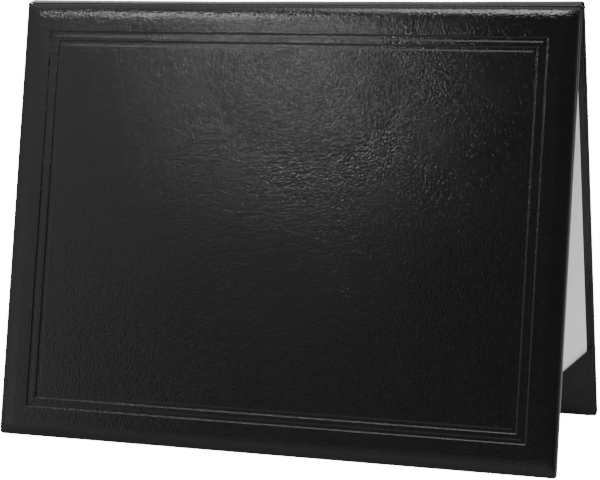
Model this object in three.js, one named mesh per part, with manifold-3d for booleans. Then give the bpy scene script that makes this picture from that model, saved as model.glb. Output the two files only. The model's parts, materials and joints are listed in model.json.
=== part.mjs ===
// A padded leatherette diploma cover for an 11 x 8.5 inch diploma, stood up like a tent on its two foot
// edges with the fold on top. Millimetres, +Z up, X along the fold, the front cover facing -Y, the floor
// at zero and the origin midway between the feet.

import * as THREE from "three";
import { mergeVertices } from "three/addons/utils/BufferGeometryUtils.js";
import Module from "manifold-3d";

const wasm = await Module();
wasm.setup();

// One cover, seen on its outer face
const coverWidth = 292; // along the fold
const coverDepth = 225.5; // from the fold end to the foot
const cornerRadius = 2.2; // where the leatherette is folded over the board's corners
const leanDeg = 13.9; // how far each cover leans from upright
const hingeRise = 2; // from the covers' top edges up to the line that they turn about

// The layers of a cover, from the plane between the closed covers outwards
const fitGap = 0.3; // left between layers that touch in the real cover
const liningLevel = 0.6; // face of the lining, where the sheet lies
const liningThickness = 0.4;
const skinThickness = 0.5; // leatherette
const boardThickness = 2;
const shoulderLevel = 4.9; // top of the side walls, where the padded face starts to rise
const crownHeight = 1.8; // how far the padding lifts the face above the shoulder
const shoulderRound = 1.8; // width of the round where the face turns down into the side wall
const shoulderDrop = 1.35; // from the shoulder down to where the side wall is upright
const shoulderDraw = 0.25; // how far that round draws the shoulder in from the outline

// Outlines, as insets from the cover's edge
const rollWidth = 9; // over which the padded face rolls down to the edge
const padSetback = 2.5;
const turnInWidth = 15; // leatherette glued round the inside of the board
const liningInset = 4.1;
const edgeRound = 0.6; // rounding of the inner edges
const mitreWidth = 0.5; // seam at each corner, where two turn-ins meet
const mitreDepth = 0.2;

// Two blind tooled lines that frame the front
const frameInset = 15.05;
const framePitch = 4.77;
const frameCount = 2;
const grooveWidth = 2.3;
const grooveDepth = 0.45;
const grooveWall = 0.3; // width of a groove's sloping wall

// Corner pockets that hold the diploma on the back cover's lining
const pocketLeg = 43; // from the cover's corner along each edge
const pocketSetback = 0.9;
const pocketThickness = 0.4;
const sheetGap = 0.5; // for the diploma, between the lining and a pocket
const pocketCornerRadius = 3;

// The fold between the covers
const foldRidge = 1.9; // outer face of the ridge above the hinge line
const foldThickness = 0.5;
const foldFootInset = 0.8; // from the shoulder in to the fold's outer face, a crease between them
const foldLinerThickness = 0.3;
const foldSetback = 0.6; // of the fold's ends from the covers' sides

// Levels and places that follow from the sizes
const turnInLevel = liningLevel + liningThickness + fitGap;
const boardLevel = turnInLevel + skinThickness + fitGap;
const boardTop = boardLevel + boardThickness;
const padLevel = boardTop + fitGap;
const foldLinerReach = pocketSetback - fitGap; // down each cover, to the pockets
const middle = hingeRise + coverDepth / 2; // of a cover, down from the hinge line
const lean = THREE.MathUtils.degToRad(leanDeg);

const leatherette = { color: 0x17171a, roughness: 0.42, metalness: 0 };
const fold = { color: 0x1b1b1e, roughness: 0.4, metalness: 0 };
const greyboard = { color: 0x8c8478, roughness: 0.95, metalness: 0 };
const foam = { color: 0xd9d2b8, roughness: 1, metalness: 0 };
const moire = { color: 0xe8e8e6, roughness: 0.6, metalness: 0 };

function mesh(name, geometry, finish) {
  const made = new THREE.Mesh(geometry, new THREE.MeshStandardMaterial(finish));
  made.name = name;
  return made;
}

function solidOf(geometry) {
  const bare = geometry.clone();
  bare.deleteAttribute("normal");
  bare.deleteAttribute("uv");
  const merged = mergeVertices(bare, 1e-4);
  return new wasm.Manifold(
    new wasm.Mesh({
      numProp: 3,
      vertProperties: merged.attributes.position.array,
      triVerts: new Uint32Array(merged.index.array),
    }),
  );
}

function geometryOf(solid) {
  const made = solid.getMesh();
  const geometry = new THREE.BufferGeometry();
  geometry.setAttribute("position", new THREE.BufferAttribute(made.vertProperties, 3));
  geometry.setIndex(new THREE.BufferAttribute(made.triVerts, 1));
  return geometry;
}

// How far the padded face has risen at one inset from an edge: a quarter round, then flat.
function roll(inset) {
  const left = Math.max(0, 1 - inset / rollWidth);
  return Math.sqrt(1 - left * left);
}

// Depth of the tooled frames at an inset from the nearest edge.
function tooling(inset) {
  for (let frame = 0; frame < frameCount; frame += 1) {
    const near = frameInset + frame * framePitch;
    const inside = Math.min(inset - near, near + grooveWidth - inset);
    if (inside > 0) return grooveDepth * Math.min(1, inside / grooveWall);
  }
  return 0;
}

function plainFace(acrossInset, downInset) {
  return shoulderLevel + crownHeight * roll(acrossInset) * roll(downInset);
}

function tooledFace(acrossInset, downInset) {
  return plainFace(acrossInset, downInset) - tooling(Math.min(acrossInset, downInset));
}

// Insets of the grid lines that a padded face needs: close together in the roll, then one at each
// corner of the grooves.
const rollSteps = 6;
const rollLines = Array.from({ length: rollSteps + 1 }, (_, step) => {
  return rollWidth * (1 - Math.cos((step / rollSteps) * (Math.PI / 2)));
});
const grooveLines = Array.from({ length: frameCount }, (_, frame) => {
  const near = frameInset + frame * framePitch;
  const far = near + grooveWidth;
  return [near, near + grooveWall, far - grooveWall, far];
}).flat();

// A closed plate over the cover's outline less the first of `lines`, which are insets from that outline.
// Its underside is flat with an edge rounded by `round`, and `top` gives its level at two insets. `draw`
// pulls the shoulder in, so that the face turns down into the side wall in a round.
function plate({ lines, radius, round, bottom, top, draw = 0 }) {
  const outline = lines[0];
  const stops = [
    ...lines.map((inset) => ({ inset, side: -1 })),
    ...lines.toReversed().map((inset) => ({ inset, side: 1 })),
  ];
  const count = stops.length;
  const points = [];

  // Bends the grid round the corner: the square next to a corner becomes a quarter disc.
  function place(column, row, shrink) {
    const across = Math.max(0, 1 - (column.inset - outline) / radius);
    const down = Math.max(0, 1 - (row.inset - outline) / radius);
    const roundAcross = across * Math.sqrt(1 - (down * down) / 2);
    const roundDown = down * Math.sqrt(1 - (across * across) / 2);
    const insetAcross = across > 0 ? outline + radius * (1 - roundAcross) : column.inset;
    const insetDown = down > 0 ? outline + radius * (1 - roundDown) : row.inset;
    return [
      column.side * (coverWidth / 2 - insetAcross - shrink * roundAcross),
      middle + row.side * (coverDepth / 2 - insetDown - shrink * roundDown),
    ];
  }
  for (const row of stops) {
    for (const column of stops) {
      const near = 1 - Math.min(column.inset, row.inset, shoulderRound) / shoulderRound;
      points.push([...place(column, row, draw * near * near), top(column.inset, row.inset)]);
    }
  }
  const triangles = [];
  for (let j = 0; j < count - 1; j += 1) {
    for (let i = 0; i < count - 1; i += 1) {
      const near = j * count + i;
      const far = near + count;
      const towardsCorner = stops[i].side * stops[j].side > 0;
      if (towardsCorner) triangles.push([near, near + 1, far + 1], [near, far + 1, far]);
      else triangles.push([near, near + 1, far], [near + 1, far + 1, far]);
    }
  }

  // The side, from the top's rim down to the rounded lower edge, and the flat underside
  const rim = [];
  for (let i = 0; i < count - 1; i += 1) rim.push([i, 0]);
  for (let j = 0; j < count - 1; j += 1) rim.push([count - 1, j]);
  for (let i = count - 1; i > 0; i -= 1) rim.push([i, count - 1]);
  for (let j = count - 1; j > 0; j -= 1) rim.push([0, j]);
  let upper = rim.map(([i, j]) => j * count + i);
  const shoulder = top(outline, outline);
  for (const [shrink, level] of [...shoulderProfile(draw, shoulder), ...edgeProfile(round, bottom)]) {
    const lower = rim.map(([i, j]) => {
      return points.push([...place(stops[i], stops[j], shrink), level]) - 1;
    });
    lower.forEach((from, k) => {
      const next = (k + 1) % lower.length;
      triangles.push([from, lower[next], upper[next]], [from, upper[next], upper[k]]);
    });
    upper = lower;
  }
  const centre = points.push([0, middle, bottom]) - 1;
  upper.forEach((from, k) => triangles.push([centre, upper[(k + 1) % upper.length], from]));

  const geometry = new THREE.BufferGeometry();
  geometry.setAttribute("position", new THREE.Float32BufferAttribute(points.flat(), 3));
  geometry.setIndex(triangles.flat());
  return geometry;
}

// Inset and level of each step from a drawn-in shoulder down to the upright side wall.
function shoulderProfile(draw, shoulder) {
  if (draw === 0) return [];
  return [1 / 3, 2 / 3, 1].map((share) => [
    draw * (1 - share) * (1 - share),
    shoulder - share * shoulderDrop,
  ]);
}

// Inset and level of each step of a rounded lower edge, from its wall to its flat.
function edgeProfile(round, bottom) {
  if (round === 0) return [[0, bottom]];
  return [0, 1 / 3, 2 / 3, 1].map((share) => {
    const turn = (share * Math.PI) / 2;
    return [round * (1 - Math.cos(turn)), bottom + round * (1 - Math.sin(turn))];
  });
}

// A cut along the diagonal of one corner, as deep as the seam between two turn-ins.
function mitre(acrossSide, downSide) {
  const length = 4 * turnInWidth;
  const cut = new THREE.BoxGeometry(length, mitreWidth, 2 * mitreDepth);
  cut.rotateZ((acrossSide * downSide * Math.PI) / 4);
  cut.translate(
    acrossSide * (coverWidth / 2),
    middle + downSide * (coverDepth / 2),
    turnInLevel,
  );
  return solidOf(cut);
}

// Lines inside an outline, with the outline itself first.
function linesFrom(outline, lines) {
  return [outline, ...lines.filter((inset) => inset > outline + 0.15)];
}

// The leatherette: the outer form hollowed to a skin, with a window inside where the turn-ins stop.
function skin(face, lines) {
  const outer = plate({
    lines,
    radius: cornerRadius,
    round: edgeRound,
    bottom: turnInLevel,
    top: face,
    draw: shoulderDraw,
  });
  const hollow = plate({
    lines: linesFrom(skinThickness, lines),
    radius: cornerRadius - skinThickness,
    round: 0,
    bottom: turnInLevel + skinThickness,
    top: (across, down) => face(across, down) - skinThickness,
  });
  const window = new THREE.BoxGeometry(
    coverWidth - 2 * turnInWidth,
    coverDepth - 2 * turnInWidth,
    4 * skinThickness,
  );
  window.translate(0, middle, turnInLevel);
  let wrapped = solidOf(outer).subtract(solidOf(hollow)).subtract(solidOf(window));
  for (const across of [-1, 1]) {
    for (const down of [-1, 1]) wrapped = wrapped.subtract(mitre(across, down));
  }
  return geometryOf(wrapped);
}

function pad(face, lines) {
  return plate({
    lines: linesFrom(padSetback, lines),
    radius: cornerRadius,
    round: 0,
    bottom: padLevel,
    top: (across, down) => face(across, down) - skinThickness - fitGap,
  });
}

function board() {
  const inset = skinThickness + fitGap;
  return plate({
    lines: [inset, inset + cornerRadius / 2, inset + cornerRadius],
    radius: cornerRadius - inset,
    round: 0,
    bottom: boardLevel,
    top: () => boardTop,
  });
}

function lining() {
  return plate({
    lines: [liningInset, liningInset + liningThickness],
    radius: liningThickness,
    round: 0,
    bottom: liningLevel,
    top: () => liningLevel + liningThickness,
  });
}

// A pocket over one corner: a flap with a wall glued down along each edge, open along its diagonal.
function pocket(acrossSide, downSide) {
  const flapLevel = liningLevel - sheetGap - pocketThickness;
  const rear = turnInLevel - fitGap;
  const cornerX = acrossSide * (coverWidth / 2);
  const cornerY = middle + downSide * (coverDepth / 2);
  const x = (inset) => cornerX - acrossSide * inset;
  const y = (inset) => cornerY - downSide * inset;
  const tip = pocketSetback + pocketCornerRadius;
  const flap = new THREE.Shape();
  flap.moveTo(x(tip), y(pocketSetback));
  flap.lineTo(x(pocketLeg - pocketSetback), y(pocketSetback));
  flap.lineTo(x(pocketSetback), y(pocketLeg - pocketSetback));
  flap.lineTo(x(pocketSetback), y(tip));
  flap.quadraticCurveTo(x(pocketSetback), y(pocketSetback), x(tip), y(pocketSetback));
  const body = new THREE.ExtrudeGeometry(flap, {
    depth: rear - flapLevel,
    bevelEnabled: false,
    curveSegments: 6,
  });
  body.translate(0, 0, flapLevel);
  const wall = liningInset - fitGap;
  const slotBottom = flapLevel + pocketThickness;
  const slotHeight = 2 * (rear - slotBottom);
  const slot = new THREE.BoxGeometry(pocketLeg, pocketLeg, slotHeight);
  slot.translate(x(wall + pocketLeg / 2), y(wall + pocketLeg / 2), slotBottom + slotHeight / 2);
  return geometryOf(solidOf(body).subtract(solidOf(slot)));
}

// The lowest point of a cover's foot sets the height of the hinge line above the floor.
const footReach = edgeProfile(edgeRound, turnInLevel).map(([inset, level]) => {
  const down = hingeRise + coverDepth - inset;
  return down * Math.cos(lean) - level * Math.sin(lean);
});
const hingeHeight = Math.max(...footReach);

// Carries a closed section, drawn across the fold with the hinge line as its origin, along the fold.
function alongFold(section) {
  const length = coverWidth - 2 * foldSetback;
  const strip = new THREE.ExtrudeGeometry(section, {
    depth: length,
    bevelEnabled: false,
    curveSegments: 10,
  });
  const turn = new THREE.Matrix4().makeBasis(
    new THREE.Vector3(0, 1, 0),
    new THREE.Vector3(0, 0, 1),
    new THREE.Vector3(1, 0, 0),
  );
  strip.applyMatrix4(turn);
  strip.translate(-length / 2, 0, hingeHeight);
  return strip;
}

// A place on the leaning back cover, in the section across the fold.
function onCover(down, level) {
  return {
    y: down * Math.sin(lean) + level * Math.cos(lean),
    z: -down * Math.cos(lean) + level * Math.sin(lean),
  };
}

// The leatherette over the ridge: an arch that stands on the top edges of both covers.
function foldSkin() {
  const down = hingeRise - fitGap;
  const level = shoulderLevel - foldFootInset;
  const outer = onCover(down, level);
  const inner = onCover(down, level - foldThickness);
  const section = new THREE.Shape();
  section.absellipse(0, outer.z, outer.y, foldRidge - outer.z, 0, Math.PI, false, 0);
  section.lineTo(-inner.y, inner.z);
  section.absellipse(0, inner.z, inner.y, foldRidge - foldThickness - inner.z, Math.PI, 0, true, 0);
  section.closePath();
  return alongFold(section);
}

// The strip inside the joint: flat on both turn-ins and turned round the hinge line between them.
function foldLiner() {
  const far = turnInLevel - fitGap;
  const near = far - foldLinerThickness;
  const reach = hingeRise + foldLinerReach;
  const outerEnd = onCover(reach, far);
  const innerEnd = onCover(reach, near);
  const section = new THREE.Shape();
  section.moveTo(outerEnd.y, outerEnd.z);
  section.absarc(0, 0, far, lean, Math.PI - lean, false);
  section.lineTo(-outerEnd.y, outerEnd.z);
  section.lineTo(-innerEnd.y, innerEnd.z);
  section.absarc(0, 0, near, Math.PI - lean, lean, true);
  section.lineTo(innerEnd.y, innerEnd.z);
  section.closePath();
  return alongFold(section);
}

// The pieces of one cover, laid out flat: x across, y down from the hinge line, z outwards.
function cover(side, face, lines) {
  const group = new THREE.Group();
  group.add(mesh(`${side}_skin`, skin(face, lines), leatherette));
  group.add(mesh(`${side}_pad`, pad(face, lines), foam));
  group.add(mesh(`${side}_board`, board(), greyboard));
  group.add(mesh(`${side}_lining`, lining(), moire));
  group.position.z = hingeHeight;
  group.rotation.x = lean - Math.PI / 2;
  return group;
}

const back = cover("back", plainFace, rollLines);
for (const [place, down] of [["top", -1], ["foot", 1]]) {
  for (const [end, across] of [["left", -1], ["right", 1]]) {
    back.add(mesh(`pocket_${place}_${end}`, pocket(across, down), leatherette));
  }
}

// The front is the same cover turned about, with the tooled frames.
const front = new THREE.Group();
front.add(cover("front", tooledFace, [...rollLines, ...grooveLines]));
front.rotation.z = Math.PI;

const group = new THREE.Group();
group.add(front, back);
group.add(mesh("fold_skin", foldSkin(), fold));
group.add(mesh("fold_liner", foldLiner(), fold));

export default group;
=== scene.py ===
# %% [markdown]
# # A padded diploma cover
# The cover is two boards under thin foam, wrapped in black pebbled leatherette and joined by a soft
# fold. It stands like a tent with the fold on top. White linings cover the insides, and four corner
# pockets on the back cover hold the diploma. The frame gives each piece's real size and place, and this
# script makes the surfaces: the rolled edges, the tooled lines, the grain and the cloth.

# %% Load the frame
import json
import math

import bpy
import numpy as np
from mathutils import Matrix, Vector


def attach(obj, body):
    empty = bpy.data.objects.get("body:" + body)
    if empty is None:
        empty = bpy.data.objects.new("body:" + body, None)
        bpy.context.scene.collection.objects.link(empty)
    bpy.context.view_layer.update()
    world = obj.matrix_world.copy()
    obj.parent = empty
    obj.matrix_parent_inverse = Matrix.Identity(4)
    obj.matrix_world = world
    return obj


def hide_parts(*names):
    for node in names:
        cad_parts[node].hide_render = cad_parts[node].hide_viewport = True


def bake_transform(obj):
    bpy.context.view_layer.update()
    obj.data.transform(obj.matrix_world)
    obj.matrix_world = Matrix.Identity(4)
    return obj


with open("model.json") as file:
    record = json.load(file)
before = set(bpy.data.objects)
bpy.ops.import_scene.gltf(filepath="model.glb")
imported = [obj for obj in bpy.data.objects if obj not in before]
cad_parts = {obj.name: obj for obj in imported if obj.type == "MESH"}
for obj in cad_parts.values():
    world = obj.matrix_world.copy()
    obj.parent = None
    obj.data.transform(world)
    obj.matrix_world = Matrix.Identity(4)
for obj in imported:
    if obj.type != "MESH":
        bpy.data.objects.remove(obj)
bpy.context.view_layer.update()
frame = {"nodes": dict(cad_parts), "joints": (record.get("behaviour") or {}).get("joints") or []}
bpy.ops.object.select_all(action="DESELECT")
MM = 0.001
print("frame loaded:", len(frame["nodes"]), "nodes")

# %% [markdown]
# ## The camera
# The photograph was taken with a long lens from the front, a little to the right of the cover and just
# above it. A camera's place, its three turns and its focal length were worked out from the cover's
# edges in the picture. The focal length is in pixels of a 600 pixel wide frame, so it is turned into
# millimetres on a 36 mm sensor.

# %% Camera
PHOTO_WIDTH = 600
SENSOR = 36.0
FOCAL_PIXELS = 1943.5
CAMERA_PLACE = Vector((310.01, -935.43, 285.51)) * MM
CAMERA_YAW, CAMERA_PITCH, CAMERA_ROLL = (math.radians(a) for a in (18.308, 10.744, -0.848))


def camera_turn(yaw, pitch, roll):
    """The camera's axes as a matrix: X right, Y up, Z back."""
    ahead = Vector(
        (
            -math.sin(yaw) * math.cos(pitch),
            math.cos(yaw) * math.cos(pitch),
            -math.sin(pitch),
        )
    )
    level = Vector((math.cos(yaw), math.sin(yaw), 0))
    upright = level.cross(ahead)
    right = level * math.cos(roll) + upright * math.sin(roll)
    up = upright * math.cos(roll) - level * math.sin(roll)
    return Matrix((right, up, -ahead)).transposed()


camera_data = bpy.data.cameras.new("camera")
camera_data.sensor_width = SENSOR
camera_data.lens = FOCAL_PIXELS / PHOTO_WIDTH * SENSOR
camera = bpy.data.objects.new("camera", camera_data)
bpy.context.scene.collection.objects.link(camera)
turn = camera_turn(CAMERA_YAW, CAMERA_PITCH, CAMERA_ROLL)
camera.matrix_world = Matrix.Translation(CAMERA_PLACE) @ turn.to_4x4()
bpy.context.scene.camera = camera
print("camera lens", round(camera_data.lens, 1), "mm")

# %% [markdown]
# ## Places on the covers
# Each cover is easiest to shape while it lies flat: X across, Y down from the hinge line, Z outwards.
# A matrix then leans it into place. The hinge line comes from the frame's joint, and the lean from the
# joint's range: the covers close when both have turned by it.

# %% The flat cover and its two places
joint = frame["joints"][0]
HINGE = Vector(joint["pos_m"])
LEAN = math.radians(-joint["range_deg"][0]) / 2
BACK_PLACE = Matrix.Translation(HINGE) @ Matrix.Rotation(LEAN - math.pi / 2, 4, "X")
FRONT_PLACE = Matrix.Rotation(math.pi, 4, "Z") @ BACK_PLACE
PLACES = {"front": FRONT_PLACE, "back": BACK_PLACE}


def flat_box(node, place):
    """A node's corners in its cover's flat frame."""
    back = place.inverted()
    corners = np.array([back @ v.co for v in frame["nodes"][node].data.vertices])
    return corners.min(0), corners.max(0)


skin_low, skin_high = flat_box("front_skin", FRONT_PLACE)
HALF_WIDTH = skin_high[0]
TOP, FOOT = skin_low[1], skin_high[1]
MIDDLE = (TOP + FOOT) / 2
HALF_DEPTH = (FOOT - TOP) / 2
TURN_IN, CROWN = skin_low[2], skin_high[2]
print("one cover: %.1f x %.1f x %.1f mm" % tuple((skin_high - skin_low) / MM))

# %% [markdown]
# ## The padded faces
# On the real cover the leatherette is stretched over foam, so its edges roll down in a quarter round and
# pinch flat at the corners. A grid whose lines follow the roll and the tooled lines can carry all of
# that: it is added as a primitive, its lines are moved to their insets, and each point is lifted by the
# same rules as the real padding. Subdividing a coarse box would soften the tooled lines away.

# %% Insets of the grid lines
ROLL = 9 * MM
CROWN_RISE = 1.8 * MM
SHOULDER = CROWN - CROWN_RISE
FOOT_CORNER, FOLD_CORNER = 2.2 * MM, 0.8 * MM
FRAME_INSETS = (15.05 * MM, 19.82 * MM)
GROOVE_WIDTH = 2.3 * MM
GROOVE_DEPTH = 0.25 * MM
GROOVE_SHARES = (-0.22, -0.08, 0.0, 0.06, 0.12, 0.18, 0.26, 0.38)
BESIDE_ROLL = [11 * MM, 13 * MM]
FIELD_STEP = 4 * MM


def roll_insets(steps=22):
    """Close together at the edge, where the face turns fastest."""
    return [ROLL * (1 - math.cos(k / steps * math.pi / 2)) for k in range(steps + 1)]


def groove_insets(near):
    """Lines across one tooled groove: its lips, walls and bed, from both sides."""
    near_side = [near + GROOVE_WIDTH * share for share in GROOVE_SHARES]
    far_side = [near + GROOVE_WIDTH * (1 - share) for share in reversed(GROOVE_SHARES)]
    return near_side + far_side


def stops(half, tooled):
    """Places of the grid lines across a cover, from one edge to the other."""
    insets = roll_insets() + BESIDE_ROLL
    if tooled:
        for near in FRAME_INSETS:
            insets += groove_insets(near)
    inner = max(insets) + FIELD_STEP
    insets += list(np.arange(inner, half - FIELD_STEP / 2, FIELD_STEP))
    insets.sort()
    return np.array([d - half for d in insets] + [0.0] + [half - d for d in reversed(insets)])


print("grid lines across the front:", len(stops(HALF_WIDTH, True)))

# %% Roll, grooves and waves
LIP_SHARE, WALL_SHARE = 0.08, 0.26
WAVE_COUNT = 14
WAVE_SHORTEST, WAVE_LONGEST = 50, 130
WAVE_HEIGHT = 0.035 * MM


def roll(inset):
    """Share of the padding's full height at an inset: a quarter round, then flat."""
    to_go = np.clip(1 - inset / ROLL, 0, 1)
    return np.sqrt(1 - to_go * to_go)


def smooth(t):
    """A soft step from 0 to 1."""
    t = np.clip(t, 0, 1)
    return t * t * (3 - 2 * t)


def tooling(inset):
    """Depth of the tooled frames: steep walls with rounded lips and a flat bed."""
    depth = np.zeros_like(inset)
    for near in FRAME_INSETS:
        into = np.minimum(inset - near, near + GROOVE_WIDTH - inset)
        depth += smooth((into / GROOVE_WIDTH + LIP_SHARE) / WALL_SHARE)
    return depth * GROOVE_DEPTH


def waves(x, y, seed):
    """Slow unevenness of stretched leatherette over foam, a sum of a few long waves."""
    chance = np.random.default_rng(seed)
    total = np.zeros_like(x)
    for _ in range(WAVE_COUNT):
        length = chance.uniform(WAVE_SHORTEST, WAVE_LONGEST) * MM
        way = chance.uniform(0, 2 * math.pi)
        start = chance.uniform(0, 2 * math.pi)
        along = x * math.cos(way) + y * math.sin(way)
        total += np.sin(along / length * 2 * math.pi + start) * length
    middle_length = (WAVE_SHORTEST + WAVE_LONGEST) / 2 * MM
    return total / (WAVE_COUNT * middle_length)


print("face: the roll reaches %.0f%% of its height 2 mm in" % (100 * roll(2 * MM)))

# %% The level and the outline of a padded face
SHOULDER_ROUND = 1.8 * MM
SHOULDER_DRAW = 0.25 * MM


def face_level(x, y, tooled, seed):
    """Height of the face over the flat cover's base, with the tooled frames on the front."""
    across = HALF_WIDTH - np.abs(x)
    down = HALF_DEPTH - np.abs(y)
    rise = roll(across) * roll(down)
    level = SHOULDER + CROWN_RISE * rise + WAVE_HEIGHT * waves(x, y, seed) * rise
    if tooled:
        level = level - tooling(np.minimum(across, down))
    return level


def draw_in(x, half):
    """Pulls the lines next to the edge in, so that the face turns over the shoulder in a round."""
    near = np.clip(1 - (half - np.abs(x)) / SHOULDER_ROUND, 0, 1)
    return np.sign(x) * (np.abs(x) - SHOULDER_DRAW * near * near)


def round_corners(x, y):
    """Bends the square next to each corner into a quarter disc, smaller at the fold."""
    radius = np.where(y < 0, FOLD_CORNER, FOOT_CORNER)
    across = np.clip(1 - (HALF_WIDTH - np.abs(x)) / radius, 0, 1)
    down = np.clip(1 - (HALF_DEPTH - np.abs(y)) / radius, 0, 1)
    both = (across > 0) & (down > 0)
    bent_x = HALF_WIDTH - radius * (1 - across * np.sqrt(1 - down * down / 2))
    bent_y = HALF_DEPTH - radius * (1 - down * np.sqrt(1 - across * across / 2))
    return (
        np.where(both, np.sign(x) * bent_x, x),
        np.where(both, np.sign(y) * bent_y, y),
    )


corner_x, corner_y = round_corners(HALF_WIDTH, HALF_DEPTH)
print("foot corner drawn in by %.2f mm" % ((HALF_WIDTH - corner_x) / MM))


# %% Helpers for a mesh's points
def points_of(piece):
    """A mesh's points as a table of X, Y and Z."""
    co = np.empty(len(piece.data.vertices) * 3)
    piece.data.vertices.foreach_get("co", co)
    return co.reshape(-1, 3)


def set_points(piece, co):
    piece.data.vertices.foreach_set("co", np.ascontiguousarray(co).ravel())
    piece.data.update()


def edit(piece, mode="VERT"):
    """Starts edit mode on one piece with nothing selected."""
    bpy.ops.object.select_all(action="DESELECT")
    piece.select_set(True)
    bpy.context.view_layer.objects.active = piece
    bpy.ops.object.mode_set(mode="EDIT")
    bpy.ops.mesh.select_mode(type=mode)
    bpy.ops.mesh.select_all(action="DESELECT")


def leave_edit():
    bpy.ops.object.mode_set(mode="OBJECT")
    bpy.ops.object.select_all(action="DESELECT")


def apply_modifiers(piece):
    bpy.context.view_layer.objects.active = piece
    for modifier in list(piece.modifiers):
        bpy.ops.object.modifier_apply(modifier=modifier.name)


def smooth_by_angle(piece, degrees):
    piece.select_set(True)
    bpy.context.view_layer.objects.active = piece
    bpy.ops.object.shade_smooth_by_angle(angle=math.radians(degrees))
    piece.select_set(False)


def set_down(piece, place):
    """Moves the shape to its place and leaves the object itself at the origin."""
    piece.data.transform(place)
    piece.data.update()


# %% [markdown]
# ## Wrapping a cover
# The face is only the top of the skin. Its rim is extruded down the board's side, round the inner edge
# and in over the back of the board, as leatherette is turned in and glued. A Solidify modifier then
# gives the skin its half millimetre, growing inwards, so the outside keeps its size.

# %% The rings of the rim
EDGE_ROUND = 0.6 * MM
SHOULDER_DROP = 1.5 * MM
RING_STEPS = 6
TURN_IN_INSETS = [inset * MM for inset in (1.6, 4, 8, 12, 15)]
MITRE_HALF, MITRE_DEPTH = 0.35 * MM, 0.2 * MM


def rim_steps():
    """Inset and level of each ring from the shoulder, round the inner edge and along the turn-in."""
    steps = []
    for k in range(1, RING_STEPS + 1):
        share = k / RING_STEPS
        steps.append((SHOULDER_DRAW * (1 - share) ** 2, SHOULDER - SHOULDER_DROP * share))
    for k in range(RING_STEPS + 1):
        angle = k / RING_STEPS * math.pi / 2
        inset = EDGE_ROUND * (1 - math.cos(angle))
        steps.append((inset, TURN_IN + EDGE_ROUND * (1 - math.sin(angle))))
    return steps + [(inset, TURN_IN) for inset in TURN_IN_INSETS]


def rim_reach(rim, axis):
    """How far a ring of points reaches from the middle along one axis."""
    return np.abs(rim[:, axis]).max()


def off_diagonal(rim):
    """Distance from the nearest corner's diagonal, where the turned-in flaps meet in a mitre."""
    across = HALF_WIDTH - np.abs(rim[:, 0])
    down = HALF_DEPTH - np.abs(rim[:, 1])
    return np.abs(across - down) / math.sqrt(2)


print("rings round the rim:", len(rim_steps()))


# %% The face of a cover and its rim
def padded_face(name, tooled, seed):
    """A grid with its lines moved to their insets and its points lifted to the padding."""
    lines_x, lines_y = stops(HALF_WIDTH, tooled), stops(HALF_DEPTH, tooled)
    bpy.ops.mesh.primitive_grid_add(
        x_subdivisions=len(lines_x) - 1, y_subdivisions=len(lines_y) - 1, size=2
    )
    piece = bpy.context.active_object
    piece.name = name
    co = points_of(piece)
    column = np.rint((co[:, 0] + 1) / 2 * (len(lines_x) - 1)).astype(int)
    row = np.rint((co[:, 1] + 1) / 2 * (len(lines_y) - 1)).astype(int)
    x, y = lines_x[column], lines_y[row]
    co[:, 2] = face_level(x, y, tooled, seed)
    round_x, round_y = round_corners(x, y)
    co[:, 0], co[:, 1] = draw_in(round_x, HALF_WIDTH), draw_in(round_y, HALF_DEPTH)
    set_points(piece, co)
    return piece


def turn_in(piece):
    """Extrudes the rim ring by ring, down the side and in over the back of the board."""
    for inset, level in rim_steps():
        edit(piece, "EDGE")
        bpy.ops.mesh.select_non_manifold()
        before = len(piece.data.vertices)
        bpy.ops.mesh.extrude_edges_move()
        leave_edit()
        co = points_of(piece)
        # A new point starts on the rim point that it grew from, so the ring is the last one, moved.
        rim = co[before:]
        rim[:, 0] *= (HALF_WIDTH - inset) / rim_reach(rim, 0)
        rim[:, 1] *= (HALF_DEPTH - inset) / rim_reach(rim, 1)
        rim[:, 2] = level
        if level == TURN_IN:
            rim[:, 2] += MITRE_DEPTH * smooth(1 - off_diagonal(rim) / MITRE_HALF)
        set_points(piece, co)


front_cover = padded_face("front_leatherette", tooled=True, seed=11)
back_cover = padded_face("back_leatherette", tooled=False, seed=23)
for cover in (front_cover, back_cover):
    turn_in(cover)
print("points before the wall:", len(front_cover.data.vertices), len(back_cover.data.vertices))

# %% The wall of the leatherette, and its place
SKIN = 0.5 * MM
COVER_EDGE_ANGLE = 55


def finish_cover(piece, side):
    """Gives the skin its thickness and leans it into place on its body."""
    edit(piece, "FACE")
    bpy.ops.mesh.select_all(action="SELECT")
    bpy.ops.mesh.normals_make_consistent(inside=False)
    leave_edit()
    wall = piece.modifiers.new("thickness", "SOLIDIFY")
    wall.thickness = SKIN
    wall.offset = -1
    wall.use_even_offset = True
    apply_modifiers(piece)
    smooth_by_angle(piece, COVER_EDGE_ANGLE)
    co = points_of(piece)
    co[:, 1] += MIDDLE
    set_points(piece, co)
    set_down(piece, PLACES[side])
    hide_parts(side + "_skin")
    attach(piece, side + "_cover")


finish_cover(front_cover, "front")
finish_cover(back_cover, "back")
print("leatherette faces:", len(front_cover.data.polygons), len(back_cover.data.polygons))

# %% [markdown]
# ## The fold
# Between the covers the leatherette runs over the ridge in one soft arch. It stands on both covers' top
# edges, a little higher at the right end than at the left, because it was never pressed flat, and its
# ends round off. A grid is bent into that arch by a formula, and Solidify makes it a strip. Its columns
# crowd together at the ends, where the arch turns down.

# %% Measures of the arch over the ridge
FOLD_HALF = HALF_WIDTH + 0.1 * MM
FOLD_END = 1.1 * MM
FOLD_COLUMNS, FOLD_ROWS = 180, 28
RIDGE_MIDDLE, RIDGE_SLOPE, RIDGE_BOW = 0.72 * MM, 0.78 * MM, 0.25 * MM
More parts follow.
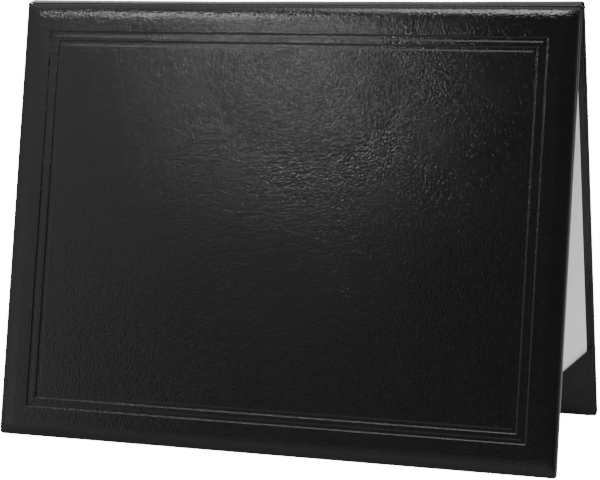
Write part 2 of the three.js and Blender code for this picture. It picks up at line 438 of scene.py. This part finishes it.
# Each ripple along the ridge has its rise, its turns and its start.
RIDGE_RIPPLES = ((0.05 * MM, 7.1, 0.6), (0.03 * MM, 17.3, 2.0))
ROUNDNESS_LEFT, ROUNDNESS_RIGHT = 2.0, 0.85
PINCH_RIGHT = 0.06
FOOT_LEFT = (TOP - 0.1 * MM, SHOULDER + 0.3 * MM)
FOOT_RIGHT = (TOP - 0.1 * MM, SHOULDER - 0.9 * MM)


def on_cover(down, level):
    """A place on the leaning back cover, in the section across the fold."""
    return (
        down * math.sin(LEAN) + level * math.cos(LEAN),
        -down * math.cos(LEAN) + level * math.sin(LEAN),
    )


left_y, left_z = on_cover(*FOOT_LEFT)
right_y, right_z = on_cover(*FOOT_RIGHT)
print("fold feet %.2f and %.2f mm from the hinge line" % (left_y / MM, right_y / MM))


# %% The arch over the ridge
def between(left, right, to_right):
    """A value that goes evenly from the fold's left end to its right end."""
    return left + (right - left) * to_right


def ridge_height(along):
    """Height of the ridge over the hinge line, for a place from -1 at the left to 1 at the right."""
    height = RIDGE_MIDDLE + RIDGE_SLOPE * along + RIDGE_BOW * along**2
    for rise, turns, start in RIDGE_RIPPLES:
        height += rise * np.sin(along * turns + start)
    return height


def bend_over(co):
    """Bends a flat grid from -1 to 1 into the arch, with the hinge line as its origin."""
    along, angle = np.sin(co[:, 0] * math.pi / 2), (co[:, 1] + 1) / 2 * math.pi
    to_right, lift = (along + 1) / 2, np.maximum(np.sin(angle), 0)
    foot_y, foot_z = between(left_y, right_y, to_right), between(left_z, right_z, to_right)
    roundness = between(ROUNDNESS_LEFT, ROUNDNESS_RIGHT, to_right)
    co[:, 0] = along * FOLD_HALF
    co[:, 1] = -foot_y * np.cos(angle) * (1 - PINCH_RIGHT * to_right * lift**2)
    co[:, 2] = foot_z + (ridge_height(along) - foot_z) * lift**roundness
    into_end = np.clip((np.abs(co[:, 0]) - FOLD_HALF + FOLD_END) / FOLD_END, 0, 1)
    co[:, 2] -= FOLD_END * (1 - np.sqrt(1 - into_end**2))
    return co


bpy.ops.mesh.primitive_grid_add(x_subdivisions=FOLD_COLUMNS, y_subdivisions=FOLD_ROWS, size=2)
fold = bpy.context.active_object
fold.name = "fold_leatherette"
set_points(fold, bend_over(points_of(fold)))
print("ridge %.2f to %.2f mm over the hinge line" % (ridge_height(-1) / MM, ridge_height(1) / MM))

# %% The fold's wall and its place
FOLD_SKIN = 0.3 * MM
FOLD_EDGE_ANGLE = 50

wall = fold.modifiers.new("thickness", "SOLIDIFY")
wall.thickness = FOLD_SKIN
wall.offset = -1
apply_modifiers(fold)
smooth_by_angle(fold, FOLD_EDGE_ANGLE)
set_down(fold, Matrix.Translation(HINGE))
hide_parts("fold_skin")
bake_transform(fold)
print("fold faces:", len(fold.data.polygons))

# %% [markdown]
# ## Linings and pockets
# The linings are thin cloth glued to the boards, so each is a plate with a soft rolled edge. A pocket is
# a triangle of leatherette folded round the cover's corner. The frame's pocket has the right form, and a
# copy of it with its doubles merged and its edges bevelled gets the soft folded edges of the real one.

# %% Softened copies of the frame's thin pieces
LINING_ROUND = 0.16 * MM
POCKET_ROUND = 0.17 * MM
SAME_POINT = 0.001 * MM
FLAT_ANGLE, SOFT_ANGLE = 1, 40


def softened(node, name, width, segments=3):
    """A copy of a frame's node with joined points, flat faces and bevelled edges."""
    source = frame["nodes"][node]
    piece = bpy.data.objects.new(name, source.data.copy())
    bpy.context.scene.collection.objects.link(piece)
    piece.data.materials.clear()
    edit(piece)
    bpy.ops.mesh.select_all(action="SELECT")
    bpy.ops.mesh.remove_doubles(threshold=SAME_POINT)
    bpy.ops.mesh.dissolve_limited(angle_limit=math.radians(FLAT_ANGLE))
    leave_edit()
    soft = piece.modifiers.new("soft edges", "BEVEL")
    soft.width = width
    soft.segments = segments
    soft.limit_method = "ANGLE"
    soft.angle_limit = math.radians(SOFT_ANGLE)
    apply_modifiers(piece)
    smooth_by_angle(piece, SOFT_ANGLE)
    return piece


# %% Two linings
linings = []
for side in ("front", "back"):
    lining = softened(side + "_lining", side + "_lining_cloth", LINING_ROUND)
    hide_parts(side + "_lining")
    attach(lining, side + "_cover")
    linings.append(lining)
print("linings:", len(linings))

# %% Four corner pockets
pockets = []
for corner in ("top_left", "top_right", "foot_left", "foot_right"):
    pocket = softened("pocket_" + corner, "corner_pocket_" + corner, POCKET_ROUND)
    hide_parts("pocket_" + corner)
    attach(pocket, "back_cover")
    pockets.append(pocket)
print("pockets:", len(pockets))

# %% [markdown]
# ## Grain for the leatherette
# Leatherette is embossed with fine pebbles less than a millimetre across, with soft creases between
# groups of them. One node group makes that grain for the covers, the fold and the pockets. It puts out a
# height for a Bump node, a roughness and a colour mask, and each material gives it its own scale.


# %% Helpers for shader nodes
def new_group(name, inputs, outputs):
    """A shader node group with plain number inputs and outputs."""
    group = bpy.data.node_groups.new(name, "ShaderNodeTree")
    for label, value in inputs:
        socket = group.interface.new_socket(label, in_out="INPUT", socket_type="NodeSocketFloat")
        socket.default_value = value
    for label in outputs:
        group.interface.new_socket(label, in_out="OUTPUT", socket_type="NodeSocketFloat")
    return group


def add_node(tree, kind, **settings):
    """A new shader node with some of its settings changed."""
    node = tree.nodes.new("ShaderNode" + kind)
    for key, value in settings.items():
        setattr(node, key, value)
    return node


def math_node(tree, operation, a, b):
    """A Math node on two sockets or numbers."""
    node = add_node(tree, "Math", operation=operation)
    for k, value in enumerate((a, b)):
        if isinstance(value, (int, float)):
            node.inputs[k].default_value = value
        else:
            tree.links.new(value, node.inputs[k])
    return node.outputs[0]


def noise(tree, place, scale, detail=2.0, roughness=0.5):
    """A noise pattern whose scale is a number or a socket."""
    node = add_node(tree, "TexNoise")
    tree.links.new(place, node.inputs["Vector"])
    node.inputs["Detail"].default_value = detail
    node.inputs["Roughness"].default_value = roughness
    if isinstance(scale, (int, float)):
        node.inputs["Scale"].default_value = scale
    else:
        tree.links.new(scale, node.inputs["Scale"])
    return node.outputs["Fac"]


# %% The grain group and its patterns
CREASE_SHARE, SPECK_SHARE = 0.32, 1.7
PATCHES_PER_METRE = 28.0

grain = new_group(
    "leatherette_grain",
    [("Pebbles per metre", 1000.0), ("Creases", 0.9), ("Roughness", 0.13)],
    ["Height", "Roughness", "Mask"],
)
inside = grain.nodes.new("NodeGroupInput")
outside = grain.nodes.new("NodeGroupOutput")
place = add_node(grain, "TexCoord").outputs["Object"]
per_metre = inside.outputs["Pebbles per metre"]
pebbles = add_node(grain, "TexVoronoi", feature="SMOOTH_F1")
pebbles.inputs["Smoothness"].default_value = 0.6
grain.links.new(place, pebbles.inputs["Vector"])
grain.links.new(per_metre, pebbles.inputs["Scale"])
crease_scale = math_node(grain, "MULTIPLY", per_metre, CREASE_SHARE)
creases = noise(grain, place, crease_scale, 3.0, 0.6)
specks = noise(grain, place, math_node(grain, "MULTIPLY", per_metre, SPECK_SHARE), 1.0)
patches = noise(grain, place, PATCHES_PER_METRE)
print("grain patterns: pebbles, creases, specks and patches")

# %% Height, roughness and mask of the grain
SPECK_HEIGHT = 0.5
PATCH_ROUGHNESS, CREASE_ROUGHNESS = 0.10, 0.12


def vary(tree, value, pattern, spread):
    """Adds a pattern to a value, up and down around it."""
    centred = math_node(tree, "SUBTRACT", pattern, 0.5)
    return math_node(tree, "ADD", value, math_node(tree, "MULTIPLY", centred, spread))


pebble_height = math_node(grain, "MULTIPLY", pebbles.outputs["Distance"], -1.0)
crease_height = math_node(grain, "MULTIPLY", creases, inside.outputs["Creases"])
speck_height = math_node(grain, "MULTIPLY", specks, SPECK_HEIGHT)
coarse = math_node(grain, "ADD", pebble_height, crease_height)
grain.links.new(math_node(grain, "ADD", coarse, speck_height), outside.inputs["Height"])
rough = vary(grain, inside.outputs["Roughness"], patches, PATCH_ROUGHNESS)
rough = vary(grain, rough, creases, CREASE_ROUGHNESS)
grain.links.new(rough, outside.inputs["Roughness"])
grain.links.new(creases, outside.inputs["Mask"])
print("grain group nodes:", len(grain.nodes))


# %% Helpers for materials
def new_material(name):
    """A material with its node tree and its Principled shader."""
    material = bpy.data.materials.new(name)
    material.use_nodes = True
    tree = material.node_tree
    shader = next(n for n in tree.nodes if n.type == "BSDF_PRINCIPLED")
    return material, tree, shader


def mixed_colour(tree, mask, dark, light):
    """Two colours mixed by a mask."""
    mix = add_node(tree, "Mix", data_type="RGBA")
    mix.inputs["A"].default_value = (*dark, 1)
    mix.inputs["B"].default_value = (*light, 1)
    tree.links.new(mask, mix.inputs["Factor"])
    return mix.outputs["Result"]


def bump(tree, height, shader, depth):
    """Turns a height pattern into small relief of a depth in metres."""
    node = add_node(tree, "Bump")
    node.inputs["Distance"].default_value = depth
    node.inputs["Strength"].default_value = 1.0
    tree.links.new(height, node.inputs["Height"])
    tree.links.new(node.outputs["Normal"], shader.inputs["Normal"])


def dress(piece, material):
    """Gives a piece one material all over."""
    piece.data.materials.clear()
    piece.data.materials.append(material)


print("material helpers ready")

# %% Leatherette materials
LEATHER_DARK, LEATHER_LIGHT = (0.0030, 0.0030, 0.0031), (0.0055, 0.0055, 0.0057)
LEATHER_IOR = 1.5


def leatherette(name, pebbles_per_metre, creases, roughness, depth):
    """Black leatherette whose grain has its own size, creases, gloss and depth."""
    material, tree, shader = new_material(name)
    group = add_node(tree, "Group", node_tree=grain)
    group.inputs["Pebbles per metre"].default_value = pebbles_per_metre
    group.inputs["Creases"].default_value = creases
    group.inputs["Roughness"].default_value = roughness
    colour = mixed_colour(tree, group.outputs["Mask"], LEATHER_DARK, LEATHER_LIGHT)
    tree.links.new(colour, shader.inputs["Base Color"])
    tree.links.new(group.outputs["Roughness"], shader.inputs["Roughness"])
    shader.inputs["IOR"].default_value = LEATHER_IOR
    bump(tree, group.outputs["Height"], shader, depth)
    return material


# Pebbles per metre, creases, roughness, depth. Over the fold the grain is stretched and creased.
cover_leather = leatherette("black leatherette", 1000.0, 0.9, 0.13, 0.054 * MM)
fold_leather = leatherette("leatherette over the fold", 1250.0, 1.6, 0.26, 0.05 * MM)
pocket_leather = leatherette("pocket leatherette", 1250.0, 1.0, 0.3, 0.04 * MM)
dress(front_cover, cover_leather)
dress(back_cover, cover_leather)
dress(fold, fold_leather)
for pocket in pockets:
    dress(pocket, pocket_leather)
print("leatherette on", 3 + len(pockets), "pieces")

# %% [markdown]
# ## Lining cloth, board and foam
# The lining is white cloth with a fine rib that runs from fold to foot. The board and the foam are closed
# in, but each still gets its own finish: grey chipped fibres for the board and open cells for the foam.


# %% Lining cloth
WARP_PER_METRE, WEFT_PER_METRE, CLOUDS_PER_METRE = 1500.0, 900.0, 60.0
WEFT_STRENGTH, WEAVE_SHADE, CLOUD_SHADE = 0.4, 0.35, 0.6
CLOTH_DARK, CLOTH_LIGHT = (0.80, 0.80, 0.80), (0.92, 0.92, 0.91)
# At scale 1 a Wave node has a little over three bands in a metre.
BANDS_AT_SCALE_ONE = math.pi


def ribs(tree, place, direction, per_metre):
    """Fine threads across one axis of Object space."""
    wave = add_node(tree, "TexWave", wave_type="BANDS", bands_direction=direction)
    wave.inputs["Scale"].default_value = per_metre / BANDS_AT_SCALE_ONE
    wave.inputs["Distortion"].default_value = 0.6
    wave.inputs["Detail"].default_value = 1.5
    tree.links.new(place, wave.inputs["Vector"])
    return wave.outputs["Fac"]


cloth, tree, shader = new_material("white lining cloth")
place = add_node(tree, "TexCoord").outputs["Object"]
warp = ribs(tree, place, "X", WARP_PER_METRE)
weft = ribs(tree, place, "Z", WEFT_PER_METRE)
weave = math_node(tree, "ADD", warp, math_node(tree, "MULTIPLY", weft, WEFT_STRENGTH))
cloud = noise(tree, place, CLOUDS_PER_METRE, 3.0)
weave_shade = math_node(tree, "MULTIPLY", weave, WEAVE_SHADE)
shade = math_node(tree, "ADD", weave_shade, math_node(tree, "MULTIPLY", cloud, CLOUD_SHADE))
colour = mixed_colour(tree, shade, CLOTH_DARK, CLOTH_LIGHT)
tree.links.new(colour, shader.inputs["Base Color"])
shader.inputs["Roughness"].default_value = 0.7
shader.inputs["Sheen Weight"].default_value = 0.2
bump(tree, weave, shader, 0.05 * MM)
for lining in linings:
    dress(lining, cloth)
print("lining cloth on", len(linings), "pieces")

# %% Board
BOARD_DARK, BOARD_LIGHT = (0.16, 0.14, 0.11), (0.34, 0.31, 0.26)
CHIPS_PER_METRE = 900.0

board, tree, shader = new_material("grey board")
place = add_node(tree, "TexCoord").outputs["Object"]
chips = noise(tree, place, CHIPS_PER_METRE, 4.0, 0.7)
colour = mixed_colour(tree, chips, BOARD_DARK, BOARD_LIGHT)
tree.links.new(colour, shader.inputs["Base Color"])
shader.inputs["Roughness"].default_value = 0.95
bump(tree, chips, shader, 0.05 * MM)
print("board material made")

# %% Foam
FOAM_DARK, FOAM_LIGHT = (0.5, 0.46, 0.33), (0.78, 0.74, 0.6)
CELLS_PER_METRE = 1600.0

foam, tree, shader = new_material("open foam")
place = add_node(tree, "TexCoord").outputs["Object"]
cells = add_node(tree, "TexVoronoi")
cells.inputs["Scale"].default_value = CELLS_PER_METRE
tree.links.new(place, cells.inputs["Vector"])
colour = mixed_colour(tree, cells.outputs["Distance"], FOAM_DARK, FOAM_LIGHT)
tree.links.new(colour, shader.inputs["Base Color"])
shader.inputs["Roughness"].default_value = 1.0
bump(tree, cells.outputs["Distance"], shader, 0.2 * MM)

for side in ("front", "back"):
    dress(frame["nodes"][side + "_board"], board)
    dress(frame["nodes"][side + "_pad"], foam)
print("boards and pads dressed")

# %% [markdown]
# ## The joint strip
# A strip inside the joint hides the gap between the boards. It is a softened copy of the frame's strip.
# The scene's ridge is lower than the frame's, so what stands over the hinge line is pressed to half its
# height.

# %% The strip inside the joint
LINER_ROUND = 0.08 * MM
LINER_RISE = 0.5

liner = softened("fold_liner", "fold_joint_strip", LINER_ROUND, segments=2)
co = points_of(liner)
co[:, 2] -= np.maximum(co[:, 2] - HINGE.z, 0) * (1 - LINER_RISE)
set_points(liner, co)
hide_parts("fold_liner")
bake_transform(liner)
dress(liner, fold_leather)

# %% [markdown]
# ## Floor and light
# The photograph has a pure white ground with no shadow, so the floor and the world are very bright where
# the camera sees them. To everything else the world is nearly dark. The floor lights the linings softly
# and is hardly mirrored in the glossy black covers, because their sides in the picture show no white.

# %% Floor
FLOOR_SIZE = 12.0
FLOOR_GAP = 0.4 * MM
FLOOR_GREY = (0.5, 0.5, 0.5, 1)
FLOOR_GLOW, FLOOR_SEEN, FLOOR_MIRRORED = 0.85, 16.0, 0.05
WHITE = (1, 1, 1, 1)

bpy.ops.mesh.primitive_plane_add(size=FLOOR_SIZE, location=(0, 0, -FLOOR_GAP))
floor = bpy.context.active_object
floor.name = "floor"
bpy.ops.object.transform_apply(location=True)
white, tree, shader = new_material("white floor")
shader.inputs["Base Color"].default_value = FLOOR_GREY
shader.inputs["Roughness"].default_value = 0.9
shader.inputs["Emission Color"].default_value = WHITE
rays = add_node(tree, "LightPath").outputs
seen = math_node(tree, "MULTIPLY", rays["Is Camera Ray"], FLOOR_SEEN - FLOOR_GLOW)
mirrored = math_node(tree, "MULTIPLY", rays["Is Glossy Ray"], FLOOR_MIRRORED - FLOOR_GLOW)
glow = math_node(tree, "ADD", math_node(tree, "ADD", seen, mirrored), FLOOR_GLOW)
tree.links.new(glow, shader.inputs["Emission Strength"])
dress(floor, white)
print("floor %.0f m wide" % FLOOR_SIZE)

# %% World
UNSEEN_LIGHT, SEEN_LIGHT = 0.01, 16.0

world = bpy.data.worlds.new("studio")
bpy.context.scene.world = world
world.use_nodes = True
tree = world.node_tree
ground = next(n for n in tree.nodes if n.type == "BACKGROUND")
seen = add_node(tree, "LightPath").outputs["Is Camera Ray"]
lift = math_node(tree, "MULTIPLY", seen, SEEN_LIGHT - UNSEEN_LIGHT)
tree.links.new(math_node(tree, "ADD", lift, UNSEEN_LIGHT), ground.inputs["Strength"])
ground.inputs["Color"].default_value = WHITE
print("world %.2f unseen and %.0f seen" % (UNSEEN_LIGHT, SEEN_LIGHT))

# %% [markdown]
# ## Lights
# Black leatherette shows little but what it mirrors, so each light is placed for one line or glow. A
# small bright softbox, left of the camera and a little over it, is broken up by the grain into the
# sparkling glow on the face. Two bright patches, one high and one further left, draw the lines along the
# rolled top edge and the tooled grooves. Large dim panels in front, to both sides, above and behind set
# the plain grey of each face and edge, and the panel at the right lights the lining inside the tent.

# %% Panels of light
TARGET = Vector((0, 0, 130 * MM))


def panel(name, azimuth, elevation, distance, width, height, radiance):
    """A softbox: azimuth is measured from -Y towards -X, and radiance is its brightness."""
    azimuth, elevation = math.radians(azimuth), math.radians(elevation)
    way = Vector(
        (
            -math.sin(azimuth) * math.cos(elevation),
            -math.cos(azimuth) * math.cos(elevation),
            math.sin(elevation),
        )
    )
    data = bpy.data.lights.new(name, "AREA")
    data.shape = "RECTANGLE"
    data.size = width
    data.size_y = height
    data.energy = radiance * width * height * math.pi
    light = bpy.data.objects.new(name, data)
    light.location = TARGET + way * distance
    light.rotation_euler = way.to_track_quat("Z", "Y").to_euler()
    light.visible_camera = False
    bpy.context.scene.collection.objects.link(light)


# Azimuth, elevation, distance, width, height, radiance.
panel("key softbox", 19, 22.5, 2.0, 0.1, 0.08, 30.0)
panel("lower glow", 18, 15, 2.0, 0.36, 0.45, 0.3)
panel("high strip", 12, 48, 2.0, 0.45, 0.45, 8.0)
panel("left strip", 26, 31, 2.0, 0.3, 0.08, 30.0)
panel("front fill", 5, 8, 2.6, 4.6, 2.6, 0.12)
panel("low fill", 15, 1, 2.6, 3.0, 0.35, 0.25)
panel("top fill", 10, 77, 2.0, 3.4, 2.8, 1.15)
panel("left panel", 60, 16, 2.2, 3.0, 2.0, 0.62)
panel("right fill", -62, 15, 2.2, 2.0, 1.6, 0.35)
panel("right panel", -100, 25, 2.2, 1.4, 2.0, 2.65)
panel("back panel", 180, 60, 2.4, 2.6, 1.4, 1.3)
panel("back softbox", 160, 26, 2.2, 1.0, 0.8, 1.6)
